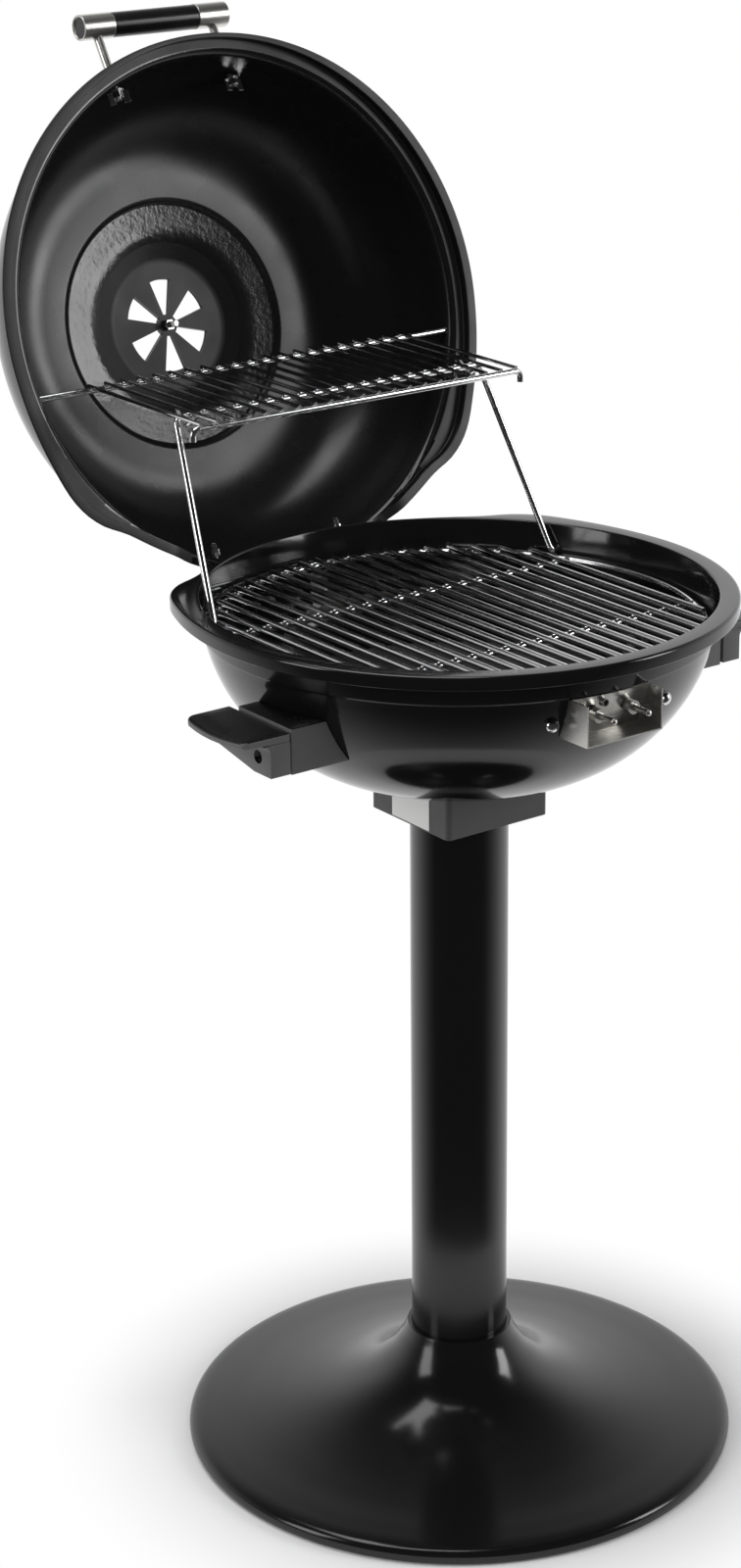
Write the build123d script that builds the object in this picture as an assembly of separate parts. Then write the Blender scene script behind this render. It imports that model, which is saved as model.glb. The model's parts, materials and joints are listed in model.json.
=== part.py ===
# Electric pedestal grill with a hinged lid, a folding warming rack and a plug-in element.
# Millimetres. +Z is up, the front of the grill faces -Y, the lid hinge runs along X at the back.
# The lid stands open at rest, as in the photograph.
from build123d import *
import math
import os

os.makedirs("parts", exist_ok=True)

# Driving dimensions
PLATE_T = 5.0
COL_R = 38.0
COL_WALL = 2.0
COL_Z0 = 9.0
COL_Z1 = 560.5
BOX_W = 96.4
BOX_Z0 = 527.5
BOWL_Z0 = 564.5
RIM_Z = 705.0
RIM_R = 211.3
RIM_WALL_R = 197.3
RIM_BAND = 10.5
SHEET = 2.0
HINGE_Y = 200.5
HINGE_Z = 686.0
HINGE_X = 60.0
LID_OPEN = 106.5
LID_Z = RIM_Z + 0.8
LID_WALL_R = 204.5
LINK_Y = 72.0
LINK_Z = 142.0
LINK_SPAN = 112.0
LINK_DROP = 0.6
RACK_DEPTH = 151.5
RACK_HALF = 156.0
LEG_TOP_HALF = 145.0
LEG_FOOT_HALF = 162.5
LEG_END = 177.0
GRIP_R = 10.0
GRIP_HALF = 69.0
GRIP_Y = -241.0
GRIP_Z = 766.0
POST_X = 55.0
POST_Z = 752.0
GUARD_X = -13.0
PIN_GAP = 32.0
PIN_Z = 664.0
HANDLE_TURN = 7.4

RACK_Y = HINGE_Y + LINK_Y
RACK_Z = HINGE_Z + LINK_Z
FOOT_Y = HINGE_Y - LINK_SPAN
FOOT_Z = HINGE_Z - LINK_DROP
KNEE_Y = RACK_Y - LINK_SPAN
KNEE_Z = RACK_Z - LINK_DROP
HINGE_AXIS = Axis((0, HINGE_Y, HINGE_Z), (1, 0, 0))
# Turned pieces start at the front right, where nothing is fastened
SEAM = Rot(0, 0, -45)


def save(name, shape):
    # Writes one node. A group of solids goes in as a compound.
    solids = shape.solids()
    body = solids[0] if len(solids) == 1 else Compound(children=list(solids))
    export_step(body, "parts/" + name + ".step")


def rod(p, q, r):
    p = Vector(*p)
    q = Vector(*q)
    d = q - p
    return extrude(Plane(origin=p, z_dir=d) * Circle(r), d.length)


def tube(p, q, r_out, r_in):
    return rod(p, q, r_out) - rod(p, q, r_in)


def wire_run(points, r):
    # A bent round wire. The inside of each bend has the wire's own radius.
    start = Vector(*points[0])
    path = FilletPolyline(*points, radius=2 * r)
    return sweep(Plane(origin=start, z_dir=Vector(*points[1]) - start) * Circle(r), path=path)


def slab(x0, x1, y0, y1, z0, z1):
    return Pos((x0 + x1) / 2, (y0 + y1) / 2, (z0 + z1) / 2) * Box(x1 - x0, y1 - y0, z1 - z0)


def offset_curve(pts, d):
    # Moves a profile of (r, z) points by d to the left of its direction of travel.
    out = []
    for i, (r, z) in enumerate(pts):
        r0, z0 = pts[max(i - 1, 0)]
        r1, z1 = pts[min(i + 1, len(pts) - 1)]
        length = math.hypot(r1 - r0, z1 - z0)
        out.append((r - d * (z1 - z0) / length, z + d * (r1 - r0) / length))
    return out


def wall(p0, p1, p2, p3):
    # A wall profile in (r, z): a straight run, then two arcs, each tangent to what comes before it.
    up = 1 if p3[1] > p0[1] else -1
    lean = math.atan2(p0[0] - p1[0], abs(p1[1] - p0[1]))
    arcs = []
    for a, b in ((p1, p2), (p2, p3)):
        inward = a[0] - b[0]
        rise = abs(b[1] - a[1])
        turn = 2 * (math.atan2(inward, rise) - lean)
        r = math.hypot(inward, rise) / (2 * math.sin(turn / 2))
        centre = (a[0] - r * math.cos(lean), a[1] - up * r * math.sin(lean))
        arcs.append((centre, r, lean, lean + turn))
        lean = lean + turn
    return p0, p1, arcs, up


def wall_edges(w, d):
    # The edges of a wall moved outwards by d, with its first and last points.
    p0, p1, arcs, up = w
    first = (p0[0] + d / math.cos(arcs[0][2]), 0, p0[1])
    here = first
    edges = []
    for centre, r, lean0, lean1 in arcs:
        turns = (lean0, (lean0 + lean1) / 2, lean1)
        a, b, c = [(centre[0] + (r + d) * math.cos(t), 0, centre[1] + up * (r + d) * math.sin(t)) for t in turns]
        if not edges:
            edges.append(Line(here, a))
        edges.append(ThreePointArc(a, b, c))
        here = c
    return edges, first, here


def wall_radius(w, z, d=0.0):
    # Radius at height z of a wall moved outwards by d.
    p0, p1, arcs, up = w
    if up * (z - p1[1]) <= 0:
        return p0[0] + d / math.cos(arcs[0][2]) + (p1[0] - p0[0]) * (z - p0[1]) / (p1[1] - p0[1])
    for centre, r, lean0, lean1 in arcs:
        if up * (z - centre[1]) <= r * math.sin(lean1):
            break
    return centre[0] + math.sqrt((r + d) ** 2 - (z - centre[1]) ** 2)


def spin_core(w, d):
    # Everything inside a wall, out to d beyond its outside face.
    edges, first, last = wall_edges(w, d)
    lines = Polyline(last, (0, 0, last[2]), (0, 0, first[2]), first)
    return SEAM * revolve(make_face(edges + list(lines.edges())), Axis.Z)


def spin_shell(w, near, far, to_axis=False):
    # The shell between two distances from a wall, carried on to the axis where it has a floor.
    a, a0, a1 = wall_edges(w, far)
    b, b0, b1 = wall_edges(w, near)
    end = [a1, (0, 0, a1[2]), (0, 0, b1[2]), b1] if to_axis else [a1, b1]
    lines = list(Polyline(*end).edges()) if to_axis else [Line(a1, b1)]
    return SEAM * revolve(make_face(a + b + lines + [Line(a0, b0)]), Axis.Z)


def spin_poly(pts):
    return revolve(make_face(Polyline(*[(r, 0, z) for r, z in pts], close=True).edges()), Axis.Z)


def polar(deg_from_back, r):
    a = math.radians(deg_from_back)
    return (r * math.sin(a), r * math.cos(a))


def outline(add, hinge_r):
    # Plan of the rim: round, with a shoulder each side of the narrower hinge part at the back.
    r = RIM_R + add
    steps = [(80, r), (66, r + 2.5), (56, r + 6.0), (49.5, r + 3.0), (43.5, (r + hinge_r) / 2)]
    steps = steps + [(37.5, hinge_r + 2.0), (29, hinge_r)]
    right = [polar(a, q) for a, q in steps]
    left = [polar(-a, q) for a, q in reversed(steps)]
    t0 = math.radians(80)
    t1 = math.radians(29)
    flow_r = [(-math.cos(t0), math.sin(t0)), (-math.cos(t1), math.sin(t1))]
    flow_l = [(-math.cos(t1), -math.sin(t1)), (-math.cos(t0), -math.sin(t0))]
    front = ThreePointArc(left[-1], (0, -r), right[0])
    back = ThreePointArc(right[-1], (0, hinge_r), left[0])
    side_r = Spline(*right, tangents=flow_r)
    side_l = Spline(*left, tangents=flow_l)
    return make_face([front, side_r, back, side_l])


def ring_block(face_out, face_in, z0, z1):
    return Pos(0, 0, z0) * extrude(face_out - face_in, z1 - z0)


def hexnut(p, q, r_hex, r_hole):
    p = Vector(*p)
    d = Vector(*q) - p
    face = RegularPolygon(r_hex, 6) - Circle(r_hole)
    return extrude(Plane(origin=p, z_dir=d) * face, d.length)


def wing_nut(p, axis, across, r_hole):
    # Hub and two wings, standing on the point p along the unit vector axis.
    plane = Plane(origin=p, x_dir=across, z_dir=axis)
    hub = extrude(plane * Circle(4.2), 5.0)
    blade = extrude(plane * Rectangle(18.0, 2.2), 10.0)
    gap = extrude(plane.offset(5.0) * Rectangle(7.0, 6.0), 6.0)
    hole = extrude(plane.offset(-1.0) * Circle(r_hole), 12.0)
    return hub + blade - gap - hole


def open_lid(shape):
    # Closed-lid position to the open rest position.
    return shape.rotate(HINGE_AXIS, -LID_OPEN)


# Pedestal base
dish_out = [(218.2, 2.0), (219.0, 6.0), (217.0, 10.6), (211.0, 13.2), (196.0, 15.2), (168.0, 18.6)]
dish_out = dish_out + [(135.0, 24.5), (104.0, 33.5), (77.0, 47.0), (58.0, 63.0), (47.0, 78.0), (41.6, 90.0)]
dish_in = [(39.0, 88.9)] + list(reversed(offset_curve(dish_out, 2.4)[4:-1]))
dish_top = Spline(*[(r, 0, z) for r, z in dish_out])
dish_under = Spline(*[(r, 0, z) for r, z in dish_in])
neck = Polyline((41.6, 0, 90.0), (38.4, 0, 90.0), (39.0, 0, 88.9))
foot = [dish_in[-1], (204.0, 8.0), (204.0, PLATE_T), (213.0, PLATE_T), (213.0, 0.6), (216.4, 0.6), (218.2, 2.0)]
foot_line = Polyline(*[(r, 0, z) for r, z in foot])
dish_face = make_face([dish_top, dish_under] + list(neck.edges()) + list(foot_line.edges()))
save("base_dish", revolve(dish_face, Axis.Z))

corners = [(35.4, 35.4), (-35.4, 35.4), (-35.4, -35.4), (35.4, -35.4)]
plate = extrude(Circle(212.5), PLATE_T)
socket = Pos(0, 0, PLATE_T) * extrude(Circle(62.0), COL_Z0 - PLATE_T)
socket = socket + tube((0, 0, COL_Z0), (0, 0, 45), 42.0, COL_R + 0.15)
screws = []
nuts = []
for x, y in corners:
    plate = plate - rod((x, y, -1), (x, y, 3.2), 5.7) - rod((x, y, 0), (x, y, 8), 3.2)
    socket = socket - rod((x, y, 2), (x, y, 12), 3.2)
    screws.append(rod((x, y, 0.8), (x, y, 3.2), 5.4) + rod((x, y, 3.2), (x, y, 17), 3.0))
    nuts.append(hexnut((x, y, COL_Z0), (x, y, COL_Z0 + 5), 5.6, 3.1))
save("base_plate", plate)
save("column_socket", socket)
save("socket_screws", Compound(children=screws))
save("socket_nuts", Compound(children=nuts))
save("column", tube((0, 0, COL_Z0), (0, 0, COL_Z1), COL_R, COL_R - COL_WALL))

# Head box between column and bowl
half = BOX_W / 2
box = slab(-half, half, -half, half, BOX_Z0, BOWL_Z0)
box = fillet(box.edges().filter_by(Axis.Z), 4.0)
box = box - slab(-half + 3, half - 3, -half + 3, half - 3, COL_Z1, BOWL_Z0 + 1)
box = box - slab(-40, 40, -40, 40, BOX_Z0 + 3.5, COL_Z1)
box = box - slab(-half + 3, half - 3, -half + 3, half - 3, BOX_Z0 + 3.5, COL_Z1 - 4.5)
box = box - rod((0, 0, BOX_Z0 - 1), (0, 0, BOX_Z0 + 5), COL_R + 0.4)
save("head_box", box)
flange = slab(-44, 44, -44, 44, COL_Z1, BOWL_Z0) - rod((0, 0, COL_Z1 - 1), (0, 0, BOWL_Z0 + 1), 20.0)
bolt_xy = [(33, 33), (-33, 33), (-33, -33), (33, -33)]
bolts = []
nuts = []
for x, y in bolt_xy:
    flange = flange - rod((x, y, COL_Z1 - 1), (x, y, BOWL_Z0 + 1), 3.2)
    bolts.append(rod((x, y, COL_Z1 - 4), (x, y, COL_Z1), 5.0) + rod((x, y, COL_Z1), (x, y, 576), 3.0))
    nuts.append(hexnut((x, y, BOWL_Z0 + SHEET), (x, y, BOWL_Z0 + SHEET + 5), 5.6, 3.1))
save("head_flange", flange)
save("bowl_bolts", Compound(children=bolts))
save("bowl_nuts", Compound(children=nuts))

# Bowl
bowl_wall = wall((RIM_WALL_R, RIM_Z), (194.6, 686.0), (168.3, 622.0), (70.0, BOWL_Z0))
bowl_core = spin_core(bowl_wall, 0.2)
bowl_cavity = spin_core(bowl_wall, -SHEET)


def bowl_radius(z):
    return wall_radius(bowl_wall, z)


def bowl_patch(near, far, x0, x1, z0, z1, front):
    # A plate that lies along the bowl wall, near and far being its distances from it.
    shell = spin_shell(bowl_wall, near, far)
    y0, y1 = (-260.0, 0.0) if front else (0.0, 260.0)
    return shell & slab(x0, x1, y0, y1, z0, z1)


bowl = spin_shell(bowl_wall, -SHEET, 0.0, to_axis=True)
rim_face = outline(0.0, 200.0)
rim_in = outline(-2.2, 197.8)
bowl = bowl + ring_block(rim_face, Circle(RIM_WALL_R - SHEET / 2), RIM_Z - SHEET, RIM_Z)
bowl = bowl + ring_block(rim_face, rim_in, RIM_Z - RIM_BAND, RIM_Z)
bowl_holes = []
for x, y in bolt_xy:
    bowl_holes.append(rod((x, y, BOWL_Z0 - 1), (x, y, BOWL_Z0 + 4), 3.2))

# Grate studs on the wall, and the round cooking grate on them
GRATE_R = 186.0
GRATE_Z = 679.0
GRATE_PITCH = 15.4
studs = []
for a in (40, 140, 220, 320):
    x, y = polar(a, 1.0)
    stud = rod((181 * x, 181 * y, GRATE_Z - 6), (196 * x, 196 * y, GRATE_Z - 6), 3.0)
    studs.append(stud & bowl_cavity)
save("grate_studs", Compound(children=studs))
grate_bars = []
for i in range(-10, 11):
    x = GRATE_PITCH * i
    y = math.sqrt(GRATE_R ** 2 - x ** 2)
    grate_bars.append(rod((x, -y, GRATE_Z + 4.8), (x, y, GRATE_Z + 4.8), 2.5))
for y in (-75.0, 75.0):
    x = math.sqrt(GRATE_R ** 2 - y ** 2)
    grate_bars.append(rod((-x, y, GRATE_Z), (x, y, GRATE_Z), 2.8))
grate_ring = Pos(0, 0, GRATE_Z) * Torus(GRATE_R, 3.0)
save("grate", grate_ring.fuse(*grate_bars))

# Grease tray
TRAY_Z = 590.8
TRAY_RIM_Z = 611.6
TRAY_T = 1.2
TRAY_FLOOR_R = 118.0
tray_rim = wall_radius(bowl_wall, TRAY_RIM_Z, -SHEET) - 0.3
tray = [(0, TRAY_Z), (TRAY_FLOOR_R + 0.6, TRAY_Z), (tray_rim - 5.5, TRAY_RIM_Z), (tray_rim, TRAY_RIM_Z)]
tray = tray + [(tray_rim, TRAY_RIM_Z + TRAY_T), (tray_rim - 6.1, TRAY_RIM_Z + TRAY_T)]
tray = tray + [(TRAY_FLOOR_R, TRAY_Z + TRAY_T), (0, TRAY_Z + TRAY_T)]
save("grease_tray", spin_poly(tray))

# Heating element, its bracket, terminals and guard
ELEM_R = 130.0
TUBE_R = 3.8
pins_x = [GUARD_X - PIN_GAP / 2, GUARD_X + PIN_GAP / 2]
ends = [(x, -math.sqrt(ELEM_R ** 2 - x ** 2)) for x in pins_x]
a_left = math.degrees(math.atan2(ends[0][1], ends[0][0]))
a_right = math.degrees(math.atan2(ends[1][1], ends[1][0]))
loop = revolve(Pos(ELEM_R, 0, PIN_Z) * (Plane.XZ * Circle(TUBE_R)), Axis.Z, 360 - (a_right - a_left))
element = Rot(0, 0, a_right) * loop
ferrules = []
pins = []
for x, y in ends:
    element = element + rod((x, y, PIN_Z), (x, -196, PIN_Z), TUBE_R) + Pos(x, y, PIN_Z) * Sphere(TUBE_R)
    collar = rod((x, -192.6, PIN_Z), (x, -199, PIN_Z), 5.2) - rod((x, -191, PIN_Z), (x, -196.1, PIN_Z), 3.9)
    ferrules.append(collar - rod((x, -191, PIN_Z), (x, -200, PIN_Z), 2.6))
    pin = rod((x, -196.1, PIN_Z), (x, -214, PIN_Z), 2.5) + Pos(x, -214, PIN_Z) * Sphere(2.5)
    pins.append(pin)
    bowl_holes.append(rod((x, -170, PIN_Z), (x, -200, PIN_Z), 4.1))
save("element", element)
save("element_ferrules", Compound(children=ferrules))
save("terminal_pins", Compound(children=pins))

PROBE_X = -21.0
PROBE_Z = 671.5
sleeve = tube((PROBE_X, -196, PROBE_Z), (PROBE_X, -150, PROBE_Z), 3.0, 2.4)
save("probe_sleeve", sleeve)
bowl_holes.append(rod((PROBE_X, -170, PROBE_Z), (PROBE_X, -200, PROBE_Z), 3.1))

bracket = bowl_patch(-3.8, -2.2, -66, 54, 650, 682, True)
guard = bowl_patch(0.2, 1.4, -47.4, 21.4, 646, 677, True)
guard = guard + (slab(-48, -46.8, -208, -160, 646, 677) - bowl_core)
guard = guard + (slab(20.8, 22, -208, -160, 646, 677) - bowl_core)
guard = guard + (slab(-48, 22, -208, -160, 646, 647.2) - bowl_core)
for x in pins_x:
    hole = rod((x, -160, PIN_Z), (x, -196, PIN_Z), 4.1)
    bracket = bracket - hole
    guard = guard - hole
probe_hole = rod((PROBE_X, -160, PROBE_Z), (PROBE_X, -200, PROBE_Z), 3.1)
bracket = bracket - probe_hole
guard = guard - probe_hole
screws = []
nuts = []
for deg in (-17.6, 13.9):
    x, y = polar(180 - deg, 1.0)
    z = 658.0
    r = bowl_radius(z)
    at = [(x * k, y * k, z) for k in (r + 6.2, r + 2.2, r - 14, r - 10.5, r - 6.4)]
    ball = Pos(x * (r + 0.8), y * (r + 0.8), z) * Sphere(5.3)
    screws.append((rod(at[0], at[1], 5.0) & ball) + rod(at[1], at[2], 2.2))
    nuts.append(hexnut(at[3], at[4], 4.6, 2.3))
    hole = rod((x * (r + 8), y * (r + 8), z), (x * (r - 12), y * (r - 12), z), 2.4)
    bowl_holes.append(hole)
    bracket = bracket - hole
save("terminal_guard", guard)
save("element_bracket", bracket)
save("guard_screws", Compound(children=screws))
save("guard_nuts", Compound(children=nuts))

clip_r = bowl_radius(668.0) - SHEET
clip = slab(-8, 8, 120, 182.0, 657.6, 659.6) + slab(-8, 8, 180.5, 182.0, 659.6, 676)
rivet_y = [182.0, clip_r + SHEET + 1.6, clip_r + SHEET + 3.4]
rivet = rod((0, 178.6, 668), (0, 180.5, 668), 4.0) + rod((0, 180.5, 668), (0, rivet_y[1], 668), 2.0)
rivet = rivet + rod((0, rivet_y[1], 668), (0, rivet_y[2], 668), 4.0)
clip = clip - rod((0, 170, 668), (0, 200, 668), 2.15)
bowl_holes.append(rod((0, 170, 668), (0, 200, 668), 2.15))
save("element_clip", clip)
save("clip_rivet", rivet)

# Side handles, drawn on the -X side and turned a little to the front
shell = spin_shell(bowl_wall, 0.2, 4.6)
handle = shell & slab(-260, 0, -40, 40, 616, 680)
paddle = slab(-246, -150, -43, 43, 644, 653)
paddle = fillet(paddle.edges().filter_by(Axis.Z).group_by(Axis.X)[0], 10.0)
handle = handle + (paddle - bowl_core)
for side in (-1, 1):
    cheek = slab(-224, -150, min(side * 34, side * 39), max(side * 34, side * 39), 620, 646)
    cheek = chamfer(cheek.edges().filter_by(Axis.Y).group_by(Axis.Z)[0].sort_by(Axis.X)[0], 20.0, 18.0)
    handle = handle + (cheek - bowl_core)
screws = []
nuts = []
turn = Rot(0, 0, HANDLE_TURN)
for y in (-22.0, 22.0):
    z = 667.3
    handle = handle - rod((-215, y, z), (-192.4, y, z), 5.0) - rod((-215, y, z), (-170, y, z), 2.4)
    screw = rod((-195.2, y, z), (-192.4, y, z), 4.4) + rod((-192.4, y, z), (-176, y, z), 2.2)
    nut = hexnut((-184.6, y, z), (-180.6, y, z), 4.4, 2.3)
    hole = turn * rod((-215, y, z), (-170, y, z), 2.4)
    bowl_holes.extend([hole, mirror(hole, Plane.YZ)])
    screws.extend([turn * screw, mirror(turn * screw, Plane.YZ)])
    nuts.extend([turn * nut, mirror(turn * nut, Plane.YZ)])
handle = turn * handle
save("handle_left", handle)
save("handle_right", mirror(handle, Plane.YZ))
save("handle_screws", Compound(children=screws))
save("handle_nuts", Compound(children=nuts))

# Lid, drawn closed and then swung open
lid_wall = wall((LID_WALL_R, LID_Z), (203.4, 726.0), (184.0, 783.5), (122.0, 815.6))
lid_core = spin_core(lid_wall, 0.2)
outer, foot_out, top_out = wall_edges(lid_wall, 0.0)
inner, foot_in, top_in = wall_edges(lid_wall, -SHEET)
crown = [top_out, (116.0, 0, 819.0), (78.0, 0, 820.5), (70.0, 0, 827.0), (0.0, 0, 827.5)]
crown = crown + [(0.0, 0, 825.5), (68.8, 0, 825.1), (76.8, 0, 818.6), (115.4, 0, 817.0), top_in]
dome = outer + inner + list(Polyline(*crown).edges()) + [Line(foot_out, foot_in)]
lid = SEAM * revolve(make_face(dome), Axis.Z)
lid_rim = outline(5.5, 206.5)
skirt_in = outline(3.5, 204.5)
lid = lid + ring_block(lid_rim, Circle(LID_WALL_R - SHEET / 2), LID_Z, LID_Z + SHEET)
skirt = ring_block(lid_rim, skirt_in, RIM_Z - 7.0, LID_Z + SHEET)
skirt = skirt + ring_block(outline(11.5, 209.0), skirt_in, RIM_Z - 7.0, RIM_Z - 5.0)
wedge = Polyline((0, 0), polar(44, 400), (0, 400), polar(-44, 400), close=True)
skirt = skirt - Pos(0, 0, RIM_Z - 20) * extrude(make_face(wedge.edges()), 40)
lid = lid + skirt

# Vent: six openings through the lid crown and the turning damper over it
VENT_IN = 10.0
VENT_OUT = 34.0
VENT_HALF = 15.0
slots = []
for k in range(6):
    a0 = math.radians(60 * k - VENT_HALF)
    a1 = math.radians(60 * k + VENT_HALF)
    am = math.radians(60 * k)
    ring = [(VENT_IN, a0), (VENT_OUT, a0), (VENT_OUT, am), (VENT_OUT, a1), (VENT_IN, a1), (VENT_IN, am)]
    p = [(r * math.sin(a), -r * math.cos(a)) for r, a in ring]
    edges = [Line(p[0], p[1]), ThreePointArc(p[1], p[2], p[3]), Line(p[3], p[4]), ThreePointArc(p[4], p[5], p[0])]
    slots.append(Pos(0, 0, 800) * extrude(make_face(edges), 60))
for cut in slots:
    lid = lid - cut
lid = lid - rod((0, 0, 800), (0, 0, 850), 2.6)
damper = Pos(0, 0, 827.9) * extrude(Circle(46.0), 1.5) - rod((0, 0, 800), (0, 0, 850), 2.58)
for cut in slots:
    damper = damper - cut
damper = damper + slab(-1.0, 1.0, -45.5, -37.0, 829.0, 840.0)
vent_screw = rod((0, 0, 829.7), (0, 0, 832.5), 5.5) + rod((0, 0, 812.0), (0, 0, 829.8), 2.5)
vent_nut = hexnut((0, 0, 825.3), (0, 0, 821.0), 4.8, 2.55)

# Grip on two posts, held inside by washers and wing nuts
core = rod((-GRIP_HALF + 3, GRIP_Y, GRIP_Z), (GRIP_HALF - 3, GRIP_Y, GRIP_Z), 8.9)
core = core + rod((-40, GRIP_Y, GRIP_Z), (40, GRIP_Y, GRIP_Z), GRIP_R)
cap = tube((40.2, GRIP_Y, GRIP_Z), (GRIP_HALF, GRIP_Y, GRIP_Z), GRIP_R + 0.4, 9.0)
cap = cap + rod((GRIP_HALF - 2.8, GRIP_Y, GRIP_Z), (GRIP_HALF - 1.4, GRIP_Y, GRIP_Z), 9.5)
post_y = -math.sqrt(200.0 ** 2 - POST_X ** 2)
flow = Vector(0, GRIP_Y - post_y, GRIP_Z - POST_Z)
flow = flow / flow.length
seat = Vector(POST_X, post_y, POST_Z)


def along(k):
    p = seat + flow * k
    return (p.X, p.Y, p.Z)


post = rod(along(-3), (POST_X, GRIP_Y, GRIP_Z), 3.8) - lid_core
post = post - rod((0, GRIP_Y, GRIP_Z), (100, GRIP_Y, GRIP_Z), GRIP_R + 0.45)
post = post + rod(along(-14), along(0.5), 2.4)
inward = -flow
washer = tube(along(-5.3), along(-6.7), 6.0, 2.6)
knob = wing_nut(along(-6.9), inward, Vector(1, 0, 0.2), 2.5)
for side in (-1, 1):
    hole = rod(along(-9), along(9), 2.6)
    lid = lid - (hole if side > 0 else mirror(hole, Plane.YZ))
both_washers = Compound(children=[washer, mirror(washer, Plane.YZ)])
both_knobs = Compound(children=[knob, mirror(knob, Plane.YZ)])

# Hinges: a single eye on the bowl between two eyes on the lid
bowl_ears = []
lid_ears = []
pins = []
bowl_bolts = []
bowl_nuts = []
lid_bolts = []
lid_nuts = []
eye = [(170, 684), (186, 689), (201, 692), (206, 686), (200, 679.5), (170, 655)]
arm = [(201.5, 689), (201.5, 709.5), (190, 711), (190, 736), (198, 736), (209.5, 712), (206.5, 686), (198, 682)]


def side_plate(pts, x0, x1):
    face = make_face(Polyline(*[(0, y, z) for y, z in pts], close=True).edges())
    return Pos(x0, 0, 0) * extrude(face, x1 - x0, dir=(1, 0, 0))


for side in (-1, 1):
    xc = side * HINGE_X
    ear = bowl_patch(0.2, 2.6, xc - 14, xc + 14, 652, 686, False)
    ear = ear + (side_plate(eye, xc - 1.8, xc + 1.8) - bowl_core)
    ear = ear + rod((xc - 1.8, HINGE_Y, HINGE_Z), (xc + 1.8, HINGE_Y, HINGE_Z), 6.0)
    ear = ear - rod((xc - 9, HINGE_Y, HINGE_Z), (xc + 9, HINGE_Y, HINGE_Z), 2.58)
    for dx in (-9.0, 9.0):
        x = xc + dx
        z = 663.0
        y = math.sqrt(bowl_radius(z) ** 2 - x ** 2)
        hole = rod((x, y - 14, z), (x, y + 10, z), 2.1)
        ear = ear - hole - rod((x, y + 4.4, z), (x, y + 14, z), 3.4)
        bowl_holes.append(hole)
        bowl_bolts.append(rod((x, y + 4.4, z), (x, y + 7.0, z), 3.0) + rod((x, y - 11, z), (x, y + 4.4, z), 1.9))
        bowl_nuts.append(hexnut((x, y - 8.5, z), (x, y - 5.0, z), 3.6, 2.0))
    bowl_ears.append(ear)
    shell = spin_shell(lid_wall, 0.2, 2.4)
    leaf = shell & slab(xc - 13, xc + 13, 0, 260, 710, 738)
    for x0, x1 in ((xc - 7.0, xc - 4.4), (xc + 4.4, xc + 7.0)):
        leaf = leaf + (side_plate(arm, x0, x1) - lid_core)
        leaf = leaf + rod((x0, HINGE_Y, HINGE_Z), (x1, HINGE_Y, HINGE_Z), 6.0)
    leaf = leaf - rod((xc - 9, HINGE_Y, HINGE_Z), (xc + 9, HINGE_Y, HINGE_Z), 2.58)
    z = 722.0
    y = math.sqrt(203.7 ** 2 - HINGE_X ** 2)
    hole = rod((xc, y - 12, z), (xc, y + 8, z), 2.2)
    leaf = leaf - hole - rod((xc, y + 3.0, z), (xc, y + 14, z), 3.9)
    lid = lid - hole
    lid_bolts.append(rod((xc, y + 3.0, z), (xc, y + 5.6, z), 3.6) + rod((xc, y - 14, z), (xc, y + 3.0, z), 2.0))
    lid_nuts.append(wing_nut((xc, y - 5.6, z), Vector(0, -1, 0), Vector(0.5, 0, 1), 2.1))
    lid_ears.append(leaf)
    pin = rod((xc - 9, HINGE_Y, HINGE_Z), (xc + 9, HINGE_Y, HINGE_Z), 2.5)
    for s in (-1, 1):
        pin = pin + rod((xc + s * 7.4, HINGE_Y, HINGE_Z), (xc + s * 9, HINGE_Y, HINGE_Z), 4.2)
    pins.append(pin)
save("hinge_bowl_left", bowl_ears[0])
save("hinge_bowl_right", bowl_ears[1])
save("hinge_bowl_bolts", Compound(children=bowl_bolts))
save("hinge_bowl_nuts", Compound(children=bowl_nuts))
save("hinge_pins", Compound(children=pins))

# Warming rack: its back bar turns in holes in the lid wall
front_y = RACK_Y - RACK_DEPTH
hook = [(-RACK_HALF, front_y, RACK_Z - 9), (-RACK_HALF, front_y, RACK_Z), (RACK_HALF, front_y, RACK_Z)]
hook = hook + [(RACK_HALF, front_y, RACK_Z - 9)]
rack_wires = [wire_run(hook, 2.5)]
wire_z = RACK_Z + 3.6
for i in range(-10, 11):
    x = 15.0 * i
    rack_wires.append(rod((x, RACK_Y + 2, wire_z), (x, front_y - 2, wire_z), 1.5))
for x in (-135.0, 135.0):
    vee = [(x, KNEE_Y + 17, wire_z), (x, KNEE_Y, KNEE_Z - 6.2), (x, KNEE_Y - 17, wire_z)]
    rack_wires.append(wire_run(vee, 1.5))
rack = rod((-201, RACK_Y, RACK_Z), (201, RACK_Y, RACK_Z), 2.5)
save("warming_rack", rack.fuse(*rack_wires))
lid_open = open_lid(lid) - rod((-230, RACK_Y, RACK_Z), (230, RACK_Y, RACK_Z), 2.6)

# Rack legs: one bent wire, its feet in holes in the bowl wall
legs = [(-LEG_END, FOOT_Y, FOOT_Z), (-LEG_FOOT_HALF, FOOT_Y, FOOT_Z), (-LEG_TOP_HALF, KNEE_Y, KNEE_Z)]
legs = legs + [(-x, y, z) for x, y, z in reversed(legs)]
save("rack_legs", wire_run(legs, 2.5))
for side in (-1, 1):
    bowl_holes.append(rod((side * 150, FOOT_Y, FOOT_Z), (side * 200, FOOT_Y, FOOT_Z), 2.6))
save("bowl", bowl.cut(*bowl_holes))

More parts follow.
